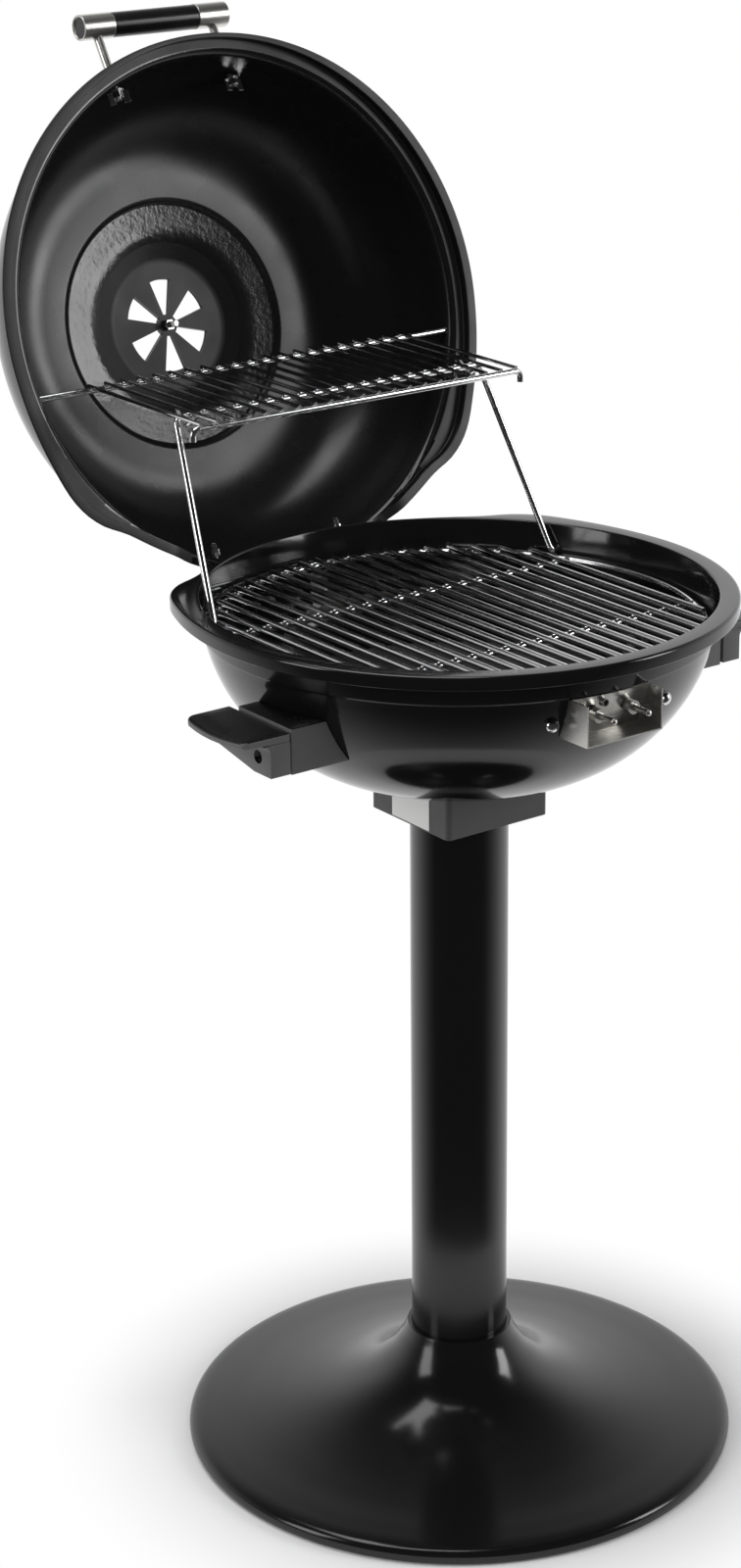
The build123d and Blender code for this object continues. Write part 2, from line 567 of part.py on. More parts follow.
save("lid", lid_open)
save("hinge_lid_left", open_lid(lid_ears[0]))
save("hinge_lid_right", open_lid(lid_ears[1]))
save("lid_hinge_bolts", open_lid(Compound(children=lid_bolts)))
save("lid_hinge_wingnuts", open_lid(Compound(children=lid_nuts)))
save("grip", open_lid(core))
save("grip_cap_right", open_lid(cap))
save("grip_cap_left", open_lid(mirror(cap, Plane.YZ)))
save("grip_post_right", open_lid(post))
save("grip_post_left", open_lid(mirror(post, Plane.YZ)))
save("grip_washers", open_lid(both_washers))
save("grip_wingnuts", open_lid(both_knobs))
save("vent_screw", open_lid(vent_screw))
save("vent_nut", open_lid(vent_nut))
save("vent_damper", open_lid(damper))
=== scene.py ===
import json
import math

import bmesh
import bpy
from mathutils import Matrix, Vector


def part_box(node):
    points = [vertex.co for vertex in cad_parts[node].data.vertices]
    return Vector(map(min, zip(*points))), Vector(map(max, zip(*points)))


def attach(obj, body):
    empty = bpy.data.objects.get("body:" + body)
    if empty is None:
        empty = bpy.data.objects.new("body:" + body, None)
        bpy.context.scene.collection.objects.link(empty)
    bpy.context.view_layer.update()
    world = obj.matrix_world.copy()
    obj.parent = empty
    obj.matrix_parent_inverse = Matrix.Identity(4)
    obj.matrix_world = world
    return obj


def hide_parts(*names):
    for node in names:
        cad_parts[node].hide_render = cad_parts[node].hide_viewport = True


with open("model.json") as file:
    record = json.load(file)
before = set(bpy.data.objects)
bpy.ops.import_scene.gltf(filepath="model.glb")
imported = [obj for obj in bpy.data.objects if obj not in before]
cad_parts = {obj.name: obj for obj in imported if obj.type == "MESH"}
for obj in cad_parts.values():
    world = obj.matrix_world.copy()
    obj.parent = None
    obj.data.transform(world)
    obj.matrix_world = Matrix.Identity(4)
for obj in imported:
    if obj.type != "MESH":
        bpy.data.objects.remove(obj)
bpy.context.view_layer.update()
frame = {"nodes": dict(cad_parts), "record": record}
SLOT_OF_NODE = {p["node"]: p["material_slot"] for p in frame["record"]["subparts"]}
BODY_OF_NODE = {n: body for body, group in frame["record"]["behaviour"]["bodies"].items() for n in group}

# Sizes in millimetres and angles in degrees, the same as the solids
MM = 0.001
TURNS = 192
SHEET = 2.0
CORNER = 40.0

# The lid is drawn closed over the bowl and then swung open about its hinge
lid_hinge = next(j for j in frame["record"]["behaviour"]["joints"] if j["name"] == "lid_hinge")
HINGE = Vector(lid_hinge["pos_m"])
OPENING = Matrix.Rotation(-math.radians(lid_hinge["range_deg"][1]), 3, "X")

# Each wall as (r, z): its foot, the end of a straight run, its waist and its far end
RIM_R = 211.3
RIM_Z = 705.0
BOWL_FLOOR = 564.5
BOWL_WALL = ((197.3, RIM_Z), (194.6, 686.0), (168.3, 622.0), (70.0, BOWL_FLOOR))
LID_Z = 705.8
CROWN_Z = 827.5
LID_WALL = ((204.5, LID_Z), (203.4, 726.0), (184.0, 783.5), (122.0, 815.6))


# Shader nodes

def shader_node(tree, kind, inputs=None, **settings):
    # A new node with its settings, and with its inputs given as values or as other nodes' outputs
    made = tree.nodes.new(kind)
    for name, value in settings.items():
        setattr(made, name, value)
    for name, value in (inputs or {}).items():
        if isinstance(value, bpy.types.NodeSocket):
            tree.links.new(value, made.inputs[name])
        else:
            made.inputs[name].default_value = value
    return made


def combined(tree, operation, a, b):
    return shader_node(tree, "ShaderNodeMath", {0: a, 1: b}, operation=operation).outputs["Value"]


def spread(tree, value, start, stop, low, high, way="SMOOTHSTEP"):
    # Brings a value from between start and stop to between low and high
    ends = {"From Min": start, "From Max": stop, "To Min": low, "To Max": high}
    made = shader_node(tree, "ShaderNodeMapRange", {"Value": value, **ends}, interpolation_type=way)
    return made.outputs["Result"]


def seen_in_mirrors(tree, rays):
    return combined(tree, "MAXIMUM", rays.outputs["Is Glossy Ray"], rays.outputs["Is Transmission Ray"])


# Finishes

def finish(name, colour, roughness, metallic=0.0):
    mat = bpy.data.materials.new(name)
    mat.use_nodes = True
    shader = mat.node_tree.nodes["Principled BSDF"]
    shader.inputs["Base Color"].default_value = (*colour, 1.0)
    shader.inputs["Roughness"].default_value = roughness
    shader.inputs["Metallic"].default_value = metallic
    return mat


def grain(mat, scale, detail, stretch=(1.0, 1.0, 1.0)):
    # Noise on the piece's own coordinates, stretched where the finish has a direction
    tree = mat.node_tree
    place = shader_node(tree, "ShaderNodeTexCoord")
    turn = shader_node(tree, "ShaderNodeMapping", {"Vector": place.outputs["Object"], "Scale": stretch})
    amount = {"Scale": scale, "Detail": detail}
    noise = shader_node(tree, "ShaderNodeTexNoise", {"Vector": turn.outputs["Vector"], **amount})
    return noise.outputs["Fac"]


def uneven_gloss(mat, fac, low, high):
    tree = mat.node_tree
    roughness = spread(tree, fac, 0.3, 0.7, low, high, way="LINEAR")
    tree.links.new(roughness, tree.nodes["Principled BSDF"].inputs["Roughness"])


def relief(mat, fac, strength, depth):
    tree = mat.node_tree
    bump = shader_node(tree, "ShaderNodeBump", {"Height": fac, "Strength": strength, "Distance": depth})
    tree.links.new(bump.outputs["Normal"], tree.nodes["Principled BSDF"].inputs["Normal"])


enamel = finish("gloss black enamel", (0.006, 0.006, 0.0065), 0.1)
uneven_gloss(enamel, grain(enamel, 14.0, 3.0), 0.07, 0.15)
relief(enamel, grain(enamel, 260.0, 1.0), 0.03, 0.0004)

satin = finish("satin black enamel", (0.008, 0.008, 0.0085), 0.3)
uneven_gloss(satin, grain(satin, 20.0, 3.0), 0.24, 0.32)
relief(satin, grain(satin, 240.0, 1.0), 0.03, 0.0004)

pebbled = finish("pebbled black enamel", (0.009, 0.009, 0.0095), 0.32)
uneven_gloss(pebbled, grain(pebbled, 30.0, 3.0), 0.13, 0.2)
relief(pebbled, grain(pebbled, 230.0, 2.0), 0.25, 0.0008)

dull = finish("dull black enamel", (0.009, 0.009, 0.0095), 0.45)
uneven_gloss(dull, grain(dull, 20.0, 3.0), 0.4, 0.5)

powder = finish("gloss black powder coat", (0.007, 0.007, 0.0075), 0.16)
uneven_gloss(powder, grain(powder, 9.0, 3.0), 0.12, 0.2)
relief(powder, grain(powder, 420.0, 1.0), 0.03, 0.0003)

phenolic = finish("black phenolic", (0.007, 0.007, 0.0075), 0.25)
uneven_gloss(phenolic, grain(phenolic, 60.0, 3.0), 0.2, 0.3)
relief(phenolic, grain(phenolic, 1400.0, 2.0), 0.12, 0.0002)

# The sides are the same black moulding, painted lighter as painted light; only their matte roughness is real
phenolic_painted_lit_sides = finish("matte sides of the mouldings with painted light", (0.11, 0.11, 0.112), 0.45)
relief(phenolic_painted_lit_sides, grain(phenolic_painted_lit_sides, 1400.0, 2.0), 0.12, 0.0002)

box_grey = finish("matte dark grey plastic", (0.075, 0.075, 0.076), 0.5)
uneven_gloss(box_grey, grain(box_grey, 40.0, 3.0), 0.44, 0.58)
relief(box_grey, grain(box_grey, 1100.0, 2.0), 0.15, 0.0002)

stainless = finish("brushed stainless", (0.72, 0.71, 0.68), 0.28, 1.0)
uneven_gloss(stainless, grain(stainless, 90.0, 2.0, (0.1, 1.0, 1.0)), 0.26, 0.3)

zinc = finish("zinc-plated steel", (0.55, 0.55, 0.54), 0.35, 1.0)
uneven_gloss(zinc, grain(zinc, 160.0, 3.0), 0.28, 0.45)

hinge_steel = finish("plain hinge steel", (0.35, 0.35, 0.35), 0.38, 1.0)
uneven_gloss(hinge_steel, grain(hinge_steel, 120.0, 3.0), 0.3, 0.46)

chrome = finish("chromed wire", (0.78, 0.78, 0.79), 0.1, 1.0)
uneven_gloss(chrome, grain(chrome, 90.0, 2.0), 0.07, 0.16)

sheath = finish("heat-darkened sheath", (0.1, 0.095, 0.09), 0.5, 0.8)
uneven_gloss(sheath, grain(sheath, 80.0, 4.0), 0.42, 0.62)

# The tray under the grate is given a dark aluminium, much darker than bare metal
tray_alu = finish("dark aluminium of the tray", (0.035, 0.034, 0.033), 0.5, 0.4)
uneven_gloss(tray_alu, grain(tray_alu, 60.0, 3.0), 0.44, 0.6)

plate_white = finish("blank white plate", (0.8, 0.8, 0.79), 0.4)

FINISH_OF_SLOT = {
    "enamel": enamel, "painted_steel": powder, "zinc_steel": zinc, "stainless": stainless,
    "black_plastic": phenolic, "grey_plastic": box_grey, "hinge_steel": hinge_steel,
    "chrome_wire": chrome, "element_steel": sheath, "tray_alu": tray_alu,
}
for node, solid in frame["nodes"].items():
    solid.data.materials.clear()
    solid.data.materials.append(FINISH_OF_SLOT[SLOT_OF_NODE[node]])


# Profiles

def wall_path(wall, offset, steps=18):
    # A straight run and two arcs, each tangent to what comes before it, moved outwards by offset
    foot, straight, waist, end = wall
    up = 1 if end[1] > foot[1] else -1
    lean = math.atan2(foot[0] - straight[0], abs(straight[1] - foot[1]))
    path = [(foot[0] + offset / math.cos(lean), foot[1])]
    for a, b in ((straight, waist), (waist, end)):
        inward = a[0] - b[0]
        rise = abs(b[1] - a[1])
        turn = 2 * (math.atan2(inward, rise) - lean)
        r = math.hypot(inward, rise) / (2 * math.sin(turn / 2))
        centre = (a[0] - r * math.cos(lean), a[1] - up * r * math.sin(lean))
        for i in range(0 if a is straight else 1, steps + 1):
            t = lean + turn * i / steps
            height = centre[1] + up * (r + offset) * math.sin(t)
            path.append((centre[0] + (r + offset) * math.cos(t), height))
        lean = lean + turn
    return path


def rounded(corners, steps=5):
    # Corners as (across, along, bend), each with its bend drawn as a short arc
    path = []
    for i, (across, along, bend) in enumerate(corners):
        here = Vector((across, along))
        if bend == 0:
            path.append((across, along))
            continue
        a = (Vector(corners[i - 1][:2]) - here).normalized()
        b = (Vector(corners[i + 1][:2]) - here).normalized()
        half = a.angle(b) / 2
        centre = here + (a + b).normalized() * bend / math.sin(half)
        start = here + a * bend / math.tan(half) - centre
        stop = here + b * bend / math.tan(half) - centre
        for k in range(steps + 1):
            spoke = (start * (1 - k / steps) + stop * k / steps).normalized() * bend
            path.append(tuple(centre + spoke))
    return path


def flowing(points, steps=6):
    # A smooth curve through the points
    path = []
    for i in range(len(points) - 1):
        p0 = Vector(points[max(i - 1, 0)])
        p1 = Vector(points[i])
        p2 = Vector(points[i + 1])
        p3 = Vector(points[min(i + 2, len(points) - 1)])
        for k in range(steps):
            t = k / steps
            bend = (2 * p0 - 5 * p1 + 4 * p2 - p3) * t * t + (3 * p1 - p0 - 3 * p2 + p3) * t ** 3
            path.append(tuple((2 * p1 + (p2 - p0) * t + bend) / 2))
    return path + [tuple(points[-1])]


def height_along(points, place):
    # Reads a curve of (place, height) points at a place
    for (a0, h0), (a1, h1) in zip(points, points[1:]):
        if place <= a1:
            return h0 + (h1 - h0) * (place - a0) / max(a1 - a0, 1e-6)
    return points[-1][1]


# Ways to make and change a mesh

def spun(path, closed):
    # The path turned once round the column's axis
    bm = bmesh.new()
    verts = [bm.verts.new((r * MM, 0.0, z * MM)) for r, z in path]
    ends = verts[1:] + (verts[:1] if closed else [])
    edges = [bm.edges.new(pair) for pair in zip(verts, ends)]
    bmesh.ops.spin(bm, geom=verts + edges, cent=(0, 0, 0), axis=(0, 0, 1), angle=2 * math.pi, steps=TURNS,
                   use_merge=True)
    bmesh.ops.remove_doubles(bm, verts=bm.verts[:], dist=1e-6)
    bmesh.ops.dissolve_degenerate(bm, dist=1e-7, edges=bm.edges[:])
    bmesh.ops.recalc_face_normals(bm, faces=bm.faces[:])
    return bm


def prism(corners, axis, start, stop):
    # An outline drawn out along Y, given as (x, z), or along Z, given as (x, y)
    bm = bmesh.new()
    if axis == "Y":
        verts = [bm.verts.new((a * MM, start * MM, b * MM)) for a, b in corners]
        way = Vector((0.0, stop - start, 0.0)) * MM
    else:
        verts = [bm.verts.new((a * MM, b * MM, start * MM)) for a, b in corners]
        way = Vector((0.0, 0.0, stop - start)) * MM
    face = bm.faces.new(verts)
    drawn = bmesh.ops.extrude_face_region(bm, geom=[face], use_keep_orig=True)
    moved = [g for g in drawn["geom"] if isinstance(g, bmesh.types.BMVert)]
    bmesh.ops.translate(bm, vec=way, verts=moved)
    bmesh.ops.recalc_face_normals(bm, faces=bm.faces[:])
    return bm


def cuboid(size, middle):
    bm = bmesh.new()
    bmesh.ops.create_cube(bm, size=1.0)
    bmesh.ops.scale(bm, vec=Vector(size) * MM, verts=bm.verts[:])
    bmesh.ops.translate(bm, vec=Vector(middle) * MM, verts=bm.verts[:])
    return bm


def rod_along_x(r, start, stop, y, z, sides):
    bm = bmesh.new()
    bmesh.ops.create_cone(bm, cap_ends=True, segments=sides, radius1=r * MM, radius2=r * MM,
                          depth=(stop - start) * MM)
    quarter = Matrix.Rotation(math.pi / 2, 3, "Y")
    bmesh.ops.rotate(bm, cent=(0, 0, 0), matrix=quarter, verts=bm.verts[:])
    bmesh.ops.translate(bm, vec=Vector(((start + stop) / 2, y, z)) * MM, verts=bm.verts[:])
    return bm


def break_edges(bm, width, segments):
    sharp = [e for e in bm.edges if len(e.link_faces) == 2 and e.calc_face_angle(0.0) > math.radians(CORNER)]
    bmesh.ops.bevel(bm, geom=sharp, offset=width * MM, affect="EDGES", segments=segments, profile=0.5,
                    material=-1, clamp_overlap=True)


def cut_across(bm, spot, normal):
    # New edges where a plane through the spot meets the faces, so that they can bend there
    bmesh.ops.bisect_plane(bm, geom=bm.verts[:] + bm.edges[:] + bm.faces[:], dist=1e-7,
                           plane_co=Vector(spot) * MM, plane_no=normal)


def joined(*parts):
    whole = bmesh.new()
    for bm in parts:
        mesh = bpy.data.meshes.new("part")
        bm.to_mesh(mesh)
        bm.free()
        whole.from_mesh(mesh)
        bpy.data.meshes.remove(mesh)
    return whole


def mirrored(bm):
    # The other side's piece
    bmesh.ops.scale(bm, vec=(-1.0, 1.0, 1.0), verts=bm.verts[:])
    bmesh.ops.reverse_faces(bm, faces=bm.faces[:])
    return bm


def swung_open(bm):
    bmesh.ops.rotate(bm, cent=HINGE, matrix=OPENING, verts=bm.verts[:])
    return bm


def polar(spot):
    # The distance from the column's axis, and the angle from the back on either side
    return math.hypot(spot.x, spot.y) / MM, math.degrees(math.atan2(abs(spot.x), spot.y))


def move_out(v, distance):
    k = 1 + distance * MM / math.hypot(v.co.x, v.co.y)
    v.co.x = v.co.x * k
    v.co.y = v.co.y * k


# Pieces

def piece(bm, name, body, slot, nodes, *mats, sharp=35.0):
    mesh = bpy.data.meshes.new(name)
    bm.to_mesh(mesh)
    bm.free()
    for mat in mats:
        mesh.materials.append(mat)
    mesh.shade_smooth()
    mesh.set_sharp_from_angle(angle=math.radians(sharp))
    obj = bpy.data.objects.new(name, mesh)
    bpy.context.scene.collection.objects.link(obj)
    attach(obj, body)
    if nodes:
        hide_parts(*nodes)
    return obj


def softened(node, width, mat=None):
    # A merged copy of a node's solid, with its sharp edges broken where a width is given
    bm = bmesh.new()
    bm.from_mesh(frame["nodes"][node].data)
    bmesh.ops.remove_doubles(bm, verts=bm.verts[:], dist=2e-6)
    bmesh.ops.dissolve_limit(bm, angle_limit=math.radians(0.5), verts=bm.verts[:], edges=bm.edges[:])
    if width > 0:
        break_edges(bm, width, 2)
    slot = SLOT_OF_NODE[node]
    mat = mat or FINISH_OF_SLOT[slot]
    obj = piece(bm, node + "_softened", BODY_OF_NODE[node], slot, [node], mat, sharp=46.0)
    even = obj.modifiers.new("even shading", "WEIGHTED_NORMAL")
    even.keep_sharp = True
    return obj


# Base and column
TUBE_R = 38.0
TUBE_LOW = 9.0
TUBE_HIGH = 560.5

dish_top = [(218.2, 2.0), (219.0, 6.0), (217.0, 10.6), (211.0, 13.2), (196.0, 15.2), (168.0, 18.6)]
dish_top = dish_top + [(135.0, 24.5), (104.0, 33.5), (77.0, 47.0), (58.0, 63.0), (47.0, 78.0), (41.6, 90.0)]
dish_under = [(38.4, 90.0), (39.0, 88.0), (55.0, 61.0), (74.0, 45.0), (103.0, 31.0), (134.0, 22.0)]
dish_under = dish_under + [(167.0, 16.2), (204.0, 11.5), (204.0, 5.0), (213.0, 5.0)]
dish_under = dish_under + [(213.0, 0.6), (216.4, 0.6)]
dish = spun(flowing(dish_top) + dish_under, closed=True)
piece(dish, "dished_base", "stand", "painted_steel", ["base_dish"], powder)

bore = TUBE_R - SHEET
tube = spun([(bore, TUBE_LOW), (TUBE_R, TUBE_LOW), (TUBE_R, TUBE_HIGH), (bore, TUBE_HIGH)], closed=True)
piece(tube, "column_tube", "stand", "painted_steel", ["column"], powder)


# Hinge shoulders of the bowl's rim and the lid's lip

def shoulder(drop):
    # How far the rim stands out from its circle, by degrees from the back
    points = [(0.0, drop), (20.0, drop), (29.0, drop), (37.5, drop + 2.0), (43.5, drop / 2), (49.5, 3.0)]
    points = points + [(56.0, 6.0), (66.0, 2.5), (80.0, 0.0), (100.0, 0.0), (180.0, 0.0)]
    return flowing(points, 8)


def shape_rim(bm, drop, start, full):
    # Moves what lies beyond the start radius, wholly from the full radius on
    curve = shoulder(drop)
    for v in bm.verts:
        r, degrees = polar(v.co)
        if r > start:
            move_out(v, min((r - start) / (full - start), 1.0) * height_along(curve, degrees))


# Bowl: floor, wall, a collar under the rolled rim, and the inside back down
COLLAR_Z = 677.0
ROLL_IN = 209.1
ROLL_LOW = 694.5

outside = [p for p in reversed(wall_path(BOWL_WALL, 0.0)) if p[1] < COLLAR_Z]
collar = rounded([(193.2, COLLAR_Z + 0.3, 0), (195.4, 679.0, 0.8), (196.4, 686.0, 0), (198.4, 701.0, 1.5),
                  (ROLL_IN, 702.4, 1.0), (ROLL_IN, ROLL_LOW, 0.5), (RIM_R, ROLL_LOW, 0.8),
                  (RIM_R, RIM_Z, 2.4), (195.6, RIM_Z, 1.6), (193.2, 690.0, 0)])
inside = [p for p in wall_path(BOWL_WALL, -SHEET) if p[1] < 687.0]
floor_out = [(0.0, BOWL_FLOOR)]
floor_in = [(0.0, BOWL_FLOOR + SHEET)]
bowl = spun(floor_out + outside + collar + inside + floor_in, closed=False)
shape_rim(bowl, drop=-11.3, start=197.5, full=209.0)
piece(bowl, "enamelled_bowl", "stand", "enamel", ["bowl"], enamel)

# Lid: crown, wall, a lip with a skirt outside the rim, and the inside back up
VENTS = 6
VENT_IN = 9.0
VENT_OUT = 38.0
VENT_HALF = 15.0
LIP_R = 223.0
LIP_BEND_Z = 712.0
SKIRT_R = 216.8
SKIRT_Z = 698.0
DISC_R = 55.0
PEBBLED_IN = 66.0
PEBBLED_OUT = 100.0
INSIDE_R = 203.2
UNDERSIDE_IN = 208.0

crown = [(0.0, CROWN_Z, 0), (VENT_IN, 827.4, 0), (VENT_OUT, 827.15, 0), (54.0, 827.0, 18.0)]
crown = crown + [(76.0, 820.2, 60.0), (100.0, 819.0, 5.0), (104.0, 815.9, 5.0), (*LID_WALL[-1], 0)]
shell_out = [p for p in reversed(wall_path(LID_WALL, 0.0)[:-1]) if p[1] > LIP_BEND_Z]
lip = rounded([(203.9, LIP_BEND_Z, 0), (204.3, LID_Z + SHEET, 3.9), (SKIRT_R, LID_Z + SHEET, 2.6),
               (SKIRT_R, SKIRT_Z + SHEET, 1.0), (LIP_R, SKIRT_Z + SHEET, 0.8), (LIP_R, SKIRT_Z, 0.8),
               (SKIRT_R - SHEET, SKIRT_Z, 0.6), (SKIRT_R - SHEET, LID_Z, 0.8), (202.5, LID_Z, 5.9),
               (201.9, LIP_BEND_Z, 0)])
shell_in = [p for p in wall_path(LID_WALL, -SHEET) if p[1] > LIP_BEND_Z + 1.0]
ceiling = [(*shell_in[-1], 0), (103.0, 813.9, 5.0), (99.2, 817.0, 5.0), (74.9, 818.3, 60.0)]
ceiling = ceiling + [(52.9, 825.1, 18.0), (VENT_OUT, 825.25, 0), (VENT_IN, 825.4, 0)]
ceiling = ceiling + [(0.0, CROWN_Z - SHEET, 0)]
lid = spun(rounded(crown) + shell_out + lip + shell_in[:-1] + rounded(ceiling), closed=False)


def draw_in_lip(bm):
    # The lip grows narrower towards the front, where the grip is
    start = 115.0
    curve = flowing([(start, 0.0), (130.0, 0.4), (145.0, 1.65), (160.0, 3.3), (172.0, 4.25), (180.0, 4.5)])
    still = SKIRT_R + 0.2
    fades = 5.0
    for v in bm.verts:
        r, degrees = polar(v.co)
        if r > still + 0.2 and degrees > start:
            move_out(v, -height_along(curve, degrees) * min((r - still) / fades, 1.0))


def lift_skirt(bm):
    # No skirt hangs down behind, where the hinges are
    ends = 31.0
    fades = 4.0
    for v in bm.verts:
        below = LID_Z * MM - v.co.z
        if below > 0:
            v.co.z = v.co.z + below * min(max((ends - polar(v.co)[1]) / fades, 0.0), 1.0)


def cut_vents(bm):
    # Openings round the middle of the crown or the damper, each closed round by a wall
    crown_low = 820.0
    step = 360.0 / VENTS
    for k in range(VENTS):
        middle = math.radians(step * (k + 0.5))
        gone = []
        for f in bm.faces:
            c = f.calc_center_median()
            off = (math.atan2(c.y, c.x) - middle + math.pi) % (2 * math.pi) - math.pi
            in_sector = abs(off) < math.radians(VENT_HALF)
            if VENT_IN < polar(c)[0] < VENT_OUT and in_sector and c.z > crown_low * MM:
                gone.append(f)
        bmesh.ops.delete(bm, geom=gone, context="FACES")
        rim = [e for e in bm.edges if e.is_boundary]
        bmesh.ops.bridge_loops(bm, edges=rim)
    bmesh.ops.recalc_face_normals(bm, faces=bm.faces[:])


def finish_lid(bm, satin_index, pebbled_index, dull_index):
    # Satin inside, with a pebbled ring round the dull disc of the vents, and a dull underside of the lip
    bm.normal_update()
    for f in bm.faces:
        c = f.calc_center_median()
        r = polar(c)[0]
        inwards = -(f.normal.x * c.x + f.normal.y * c.y) / max(r * MM, 1e-6)
        is_inside = r < INSIDE_R and (f.normal.z < -0.15 or inwards > 0.15)
        if is_inside and PEBBLED_IN < r < PEBBLED_OUT:
            f.material_index = pebbled_index
        elif is_inside and r < DISC_R:
            f.material_index = dull_index
        elif is_inside:
            f.material_index = satin_index
        elif r > UNDERSIDE_IN and f.normal.z < -0.6:
            f.material_index = dull_index


shape_rim(lid, drop=-10.3, start=204.6, full=215.0)
draw_in_lip(lid)
lift_skirt(lid)
cut_vents(lid)
finish_lid(lid, satin_index=1, pebbled_index=2, dull_index=3)
piece(swung_open(lid), "enamelled_lid", "lid", "enamel", ["lid"], enamel, satin, pebbled, dull)

# Mouldings, sheet pieces and fasteners with their edges broken, and wires with an even round
MOULDING_EDGE = 0.7
FASTENER_EDGE = 0.5
SMALL_EDGE = 0.4
SHEET_EDGE = 0.3
BLACK_END_NEAR = 0.5
BLACK_END_DEEP = 4.5

for node in ("head_box", "grip"):
    softened(node, MOULDING_EDGE)
for node in ("grip_cap_left", "grip_cap_right"):
    # The bottom of each cap's recessed end is given the black moulding finish
    cap = softened(node, SMALL_EDGE)
    cap.data.materials.append(phenolic)
    cap_end = max(abs(v.co.x) for v in cap.data.vertices)
    for face in cap.data.polygons:
        depth = cap_end - abs(face.center.x)
        if abs(face.normal.x) > 0.98 and BLACK_END_NEAR * MM < depth < BLACK_END_DEEP * MM:
            face.material_index = 1
for node in ("guard_screws", "grip_wingnuts", "lid_hinge_wingnuts", "vent_screw"):
    softened(node, FASTENER_EDGE, chrome)
softened("hinge_pins", FASTENER_EDGE)
for node in ("terminal_guard", "grip_washers", "vent_nut", "hinge_bowl_left", "hinge_bowl_right",
             "hinge_lid_left", "hinge_lid_right", "lid_hinge_bolts", "hinge_bowl_bolts"):
    softened(node, SHEET_EDGE)
for node in ("grip_post_left", "grip_post_right", "terminal_pins", "element_ferrules", "element", "grate",
             "warming_rack", "rack_legs"):
    softened(node, 0.0)

# Side handles, drawn on the -X side: a paddle with a drooping edge, on a block with an arch under the
# paddle, on a wedge that follows the bowl's wall
HANDLE_MID = -32.0
HANDLE_HALF = 38.0
HANDLE_FRONT = HANDLE_MID - HANDLE_HALF
HANDLE_REAR = HANDLE_MID + HANDLE_HALF
HANDLE_TOP = 654.0
HANDLE_LOW = 623.0
HANDLE_EDGE = 0.8
PADDLE_IN = -206.0
PADDLE_OUT = -245.0
PADDLE_BEND = -218.0
PADDLE_THICK = 6.5
PADDLE_THIN = 1.8
PADDLE_DROOP = 2.0
PADDLE_BULGE = 4.0
PADDLE_EDGE = 1.2
PADDLE_LOW = HANDLE_TOP - PADDLE_THICK
BLOCK_OUT = -223.0
BLOCK_REAR = HANDLE_REAR - 9.0
ARCH = 6.0
FOOT_RISE = 9.0
GROOVE = 1.5
RECESS_R = 5.0
RECESS = 7.0
SCREW_Z = 635.5
SCREW_Y = (-54.0, -18.0)
HEAD_R = 4.2
SHANK_R = 2.2
NUT_R = 4.4


def bowl_radius(z):
    return height_along(sorted((p[1], p[0]) for p in wall_path(BOWL_WALL, 0.0)), z)


def handle_paddle():
    outline = rounded([(PADDLE_IN, HANDLE_FRONT, 0), (PADDLE_OUT, HANDLE_FRONT, 4.0),
                       (PADDLE_OUT, HANDLE_REAR, 8.0), (PADDLE_IN, HANDLE_REAR, 0)], 6)
    paddle = prism(outline, "Z", PADDLE_LOW, HANDLE_TOP)
    for k in range(1, 6):
        cut_across(paddle, (PADDLE_OUT + 5.0 * k, 0.0, 0.0), (1, 0, 0))
    for k in range(1, 8):
        cut_across(paddle, (0.0, HANDLE_FRONT + 2 * HANDLE_HALF * k / 8, 0.0), (0, 1, 0))
    break_edges(paddle, PADDLE_EDGE, 3)
    for v in paddle.verts:
        # Beyond the bend it thins from below, droops and bulges outwards, most at the middle
        over = max(PADDLE_BEND - v.co.x / MM, 0.0) / (PADDLE_BEND - PADDLE_OUT)
        along = 1 - ((v.co.y / MM - HANDLE_MID) / HANDLE_HALF) ** 2
        lift = PADDLE_THIN * over * (HANDLE_TOP - v.co.z / MM) / PADDLE_THICK
        v.co.z = v.co.z + (lift - PADDLE_DROOP * over * over * along) * MM
        v.co.x = v.co.x - PADDLE_BULGE * over * along * MM
    return paddle


def sink_hole(bm, face_x, y, z, r, depth):
    # A round recess in a face that looks along -X
    for side in (-1, 1):
        cut_across(bm, (0.0, y + side * r, 0.0), (0, 1, 0))
        cut_across(bm, (0.0, 0.0, z + side * r), (0, 0, 1))
    middle = Vector((face_x, y, z)) * MM
    square = min(bm.faces, key=lambda f: (f.calc_center_median() - middle).length)
    bmesh.ops.subdivide_edges(bm, edges=square.edges[:], cuts=5)
    disc = min(bm.faces, key=lambda f: (f.calc_center_median() - middle).length)
    for v in disc.verts:
        v.co = middle + (v.co - middle).normalized() * r * MM
    sunk = bmesh.ops.extrude_discrete_faces(bm, faces=[disc])["faces"][0]
    bmesh.ops.translate(bm, vec=(depth * MM, 0.0, 0.0), verts=sunk.verts[:])


def handle_block():
    overlap = 0.5
    profile = rounded([(PADDLE_IN, HANDLE_LOW, 0), (PADDLE_IN, PADDLE_LOW + overlap, 0),
                       (BLOCK_OUT - ARCH, PADDLE_LOW + overlap, 0), (BLOCK_OUT - ARCH, PADDLE_LOW, 0),
                       (BLOCK_OUT, PADDLE_LOW, ARCH), (BLOCK_OUT, HANDLE_LOW, 0)])
    block = prism(profile, "Y", HANDLE_FRONT, BLOCK_REAR)
    break_edges(block, HANDLE_EDGE, 3)
    sink_hole(block, BLOCK_OUT, SCREW_Y[0], SCREW_Z, RECESS_R, RECESS)
    foot_top = PADDLE_LOW - 8.0
    foot_start = HANDLE_FRONT + 24.0
    for v in block.verts:
        # The block's foot rises towards the rear
        foot = max(foot_top - v.co.z / MM, 0.0) / (foot_top - HANDLE_LOW)
        back = max(v.co.y / MM - foot_start, 0.0) / (BLOCK_REAR - foot_start)
        v.co.z = v.co.z + FOOT_RISE * foot * back * MM
    return block


